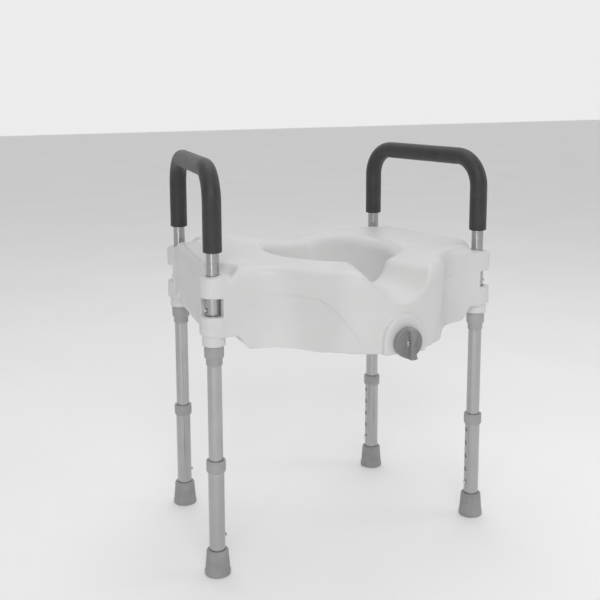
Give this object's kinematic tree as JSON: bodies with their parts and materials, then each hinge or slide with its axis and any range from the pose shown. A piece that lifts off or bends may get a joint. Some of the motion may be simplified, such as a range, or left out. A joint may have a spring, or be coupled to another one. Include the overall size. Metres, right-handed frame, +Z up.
{
  "type": "toilet safety frame",
  "caption": "Raised toilet seat moulded with side wings that carry two padded U-shaped arms and telescoping legs, locked to the bowl by a front knob.",
  "frame": {"origin": "on the floor, below the middle of the whole object's length and width", "axes": "+Z up, -Y to the front where the locking knob is, +X to the right as seen from the front"},
  "size_m": [0.597, 0.5436, 0.7375],
  "materials": {
    "seat_plastic": "satin blow-moulded polyethylene",
    "grey_plastic": "fine satin grain",
    "aluminium_tube": "satin anodised",
    "grip_foam": "closed-cell foam",
    "foot_rubber": "matt",
    "pad_rubber": "matt",
    "steel": "plain"
  },
  "bodies": {
    "frame": {"seat_shell": "seat_plastic", "rim_pad_front_left": "pad_rubber", "rim_pad_front_right": "pad_rubber", "rim_pad_rear_left": "pad_rubber", "rim_pad_rear_right": "pad_rubber", "knob_washer": "steel", "arm_tube_left": "aluminium_tube", "foam_grip_left": "grip_foam", "arm_tube_right": "aluminium_tube", "foam_grip_right": "grip_foam", "upper_tube_front_left": "aluminium_tube", "neck_collar_front_left": "grey_plastic", "ferrule_front_left": "aluminium_tube", "arm_spring_front_left": "steel", "leg_spring_front_left": "steel", "upper_tube_front_right": "aluminium_tube", "neck_collar_front_right": "grey_plastic", "ferrule_front_right": "aluminium_tube", "arm_spring_front_right": "steel", "leg_spring_front_right": "steel", "upper_tube_rear_left": "aluminium_tube", "neck_collar_rear_left": "grey_plastic", "ferrule_rear_left": "aluminium_tube", "arm_spring_rear_left": "steel", "leg_spring_rear_left": "steel", "upper_tube_rear_right": "aluminium_tube", "neck_collar_rear_right": "grey_plastic", "ferrule_rear_right": "aluminium_tube", "arm_spring_rear_right": "steel", "leg_spring_rear_right": "steel"},
    "leg_front_left": {"lower_tube_front_left": "aluminium_tube", "lower_collar_front_left": "grey_plastic", "foot_front_left": "foot_rubber"},
    "leg_front_right": {"lower_tube_front_right": "aluminium_tube", "lower_collar_front_right": "grey_plastic", "foot_front_right": "foot_rubber"},
    "leg_rear_left": {"lower_tube_rear_left": "aluminium_tube", "lower_collar_rear_left": "grey_plastic", "foot_rear_left": "foot_rubber"},
    "leg_rear_right": {"lower_tube_rear_right": "aluminium_tube", "lower_collar_rear_right": "grey_plastic", "foot_rear_right": "foot_rubber"},
    "arm_lock_front_left": {"arm_button_front_left": "steel"},
    "arm_lock_front_right": {"arm_button_front_right": "steel"},
    "arm_lock_rear_left": {"arm_button_rear_left": "steel"},
    "arm_lock_rear_right": {"arm_button_rear_right": "steel"},
    "leg_lock_front_left": {"leg_button_front_left": "steel"},
    "leg_lock_front_right": {"leg_button_front_right": "steel"},
    "leg_lock_rear_left": {"leg_button_rear_left": "steel"},
    "leg_lock_rear_right": {"leg_button_rear_right": "steel"},
    "knob": {"lock_knob": "grey_plastic", "lock_screw": "steel", "retaining_clip": "steel"},
    "jaw": {"clamp_jaw": "grey_plastic", "clamp_nut": "steel", "jaw_pad": "pad_rubber"}
  },
  "joints": [
    {"name": "leg_slide_front_left", "type": "slide", "parent": "frame", "child": "leg_front_left", "axis": [0, 0, -1], "range_m": [0, 0.11], "deforming": ["leg_button_front_left", "leg_spring_front_left"]},
    {"name": "leg_slide_front_right", "type": "slide", "parent": "frame", "child": "leg_front_right", "axis": [0, 0, -1], "range_m": [0, 0.11], "deforming": ["leg_button_front_right", "leg_spring_front_right"]},
    {"name": "leg_slide_rear_left", "type": "slide", "parent": "frame", "child": "leg_rear_left", "axis": [0, 0, -1], "range_m": [0, 0.11], "deforming": ["leg_button_rear_left", "leg_spring_rear_left"]},
    {"name": "leg_slide_rear_right", "type": "slide", "parent": "frame", "child": "leg_rear_right", "axis": [0, 0, -1], "range_m": [0, 0.11], "deforming": ["leg_button_rear_right", "leg_spring_rear_right"]},
    {"name": "arm_button_press_front_left", "type": "slide", "parent": "frame", "child": "arm_lock_front_left", "axis": [1, 0, 0], "range_m": [0, 0.0048], "stiffness_N_per_m": 900, "springref_m": -0.002, "deforming": ["arm_spring_front_left"]},
    {"name": "leg_button_press_front_left", "type": "slide", "parent": "frame", "child": "leg_lock_front_left", "axis": [-1, 0, 0], "range_m": [0, 0.0047], "stiffness_N_per_m": 900, "springref_m": -0.002, "deforming": ["leg_spring_front_left"]},
    {"name": "arm_button_press_front_right", "type": "slide", "parent": "frame", "child": "arm_lock_front_right", "axis": [-1, 0, 0], "range_m": [0, 0.0048], "stiffness_N_per_m": 900, "springref_m": -0.002, "deforming": ["arm_spring_front_right"]},
    {"name": "leg_button_press_front_right", "type": "slide", "parent": "frame", "child": "leg_lock_front_right", "axis": [1, 0, 0], "range_m": [0, 0.0047], "stiffness_N_per_m": 900, "springref_m": -0.002, "deforming": ["leg_spring_front_right"]},
    {"name": "arm_button_press_rear_left", "type": "slide", "parent": "frame", "child": "arm_lock_rear_left", "axis": [1, 0, 0], "range_m": [0, 0.0048], "stiffness_N_per_m": 900, "springref_m": -0.002, "deforming": ["arm_spring_rear_left"]},
    {"name": "leg_button_press_rear_left", "type": "slide", "parent": "frame", "child": "leg_lock_rear_left", "axis": [-1, 0, 0], "range_m": [0, 0.0047], "stiffness_N_per_m": 900, "springref_m": -0.002, "deforming": ["leg_spring_rear_left"]},
    {"name": "arm_button_press_rear_right", "type": "slide", "parent": "frame", "child": "arm_lock_rear_right", "axis": [-1, 0, 0], "range_m": [0, 0.0048], "stiffness_N_per_m": 900, "springref_m": -0.002, "deforming": ["arm_spring_rear_right"]},
    {"name": "leg_button_press_rear_right", "type": "slide", "parent": "frame", "child": "leg_lock_rear_right", "axis": [1, 0, 0], "range_m": [0, 0.0047], "stiffness_N_per_m": 900, "springref_m": -0.002, "deforming": ["leg_spring_rear_right"]},
    {"name": "knob_turn", "type": "hinge", "parent": "frame", "child": "knob", "pos_m": [0, -0.2468, 0.436], "axis": [0, 1, 0], "range_deg": [0, 1800]},
    {"name": "jaw_slide", "type": "slide", "parent": "frame", "child": "jaw", "axis": [0, 1, 0], "range_m": [0, 0.0101]}
  ],
  "couplings": [
    {"joint": "jaw_slide", "follows": "knob_turn", "m_per_rad": 0.00031831}
  ]
}
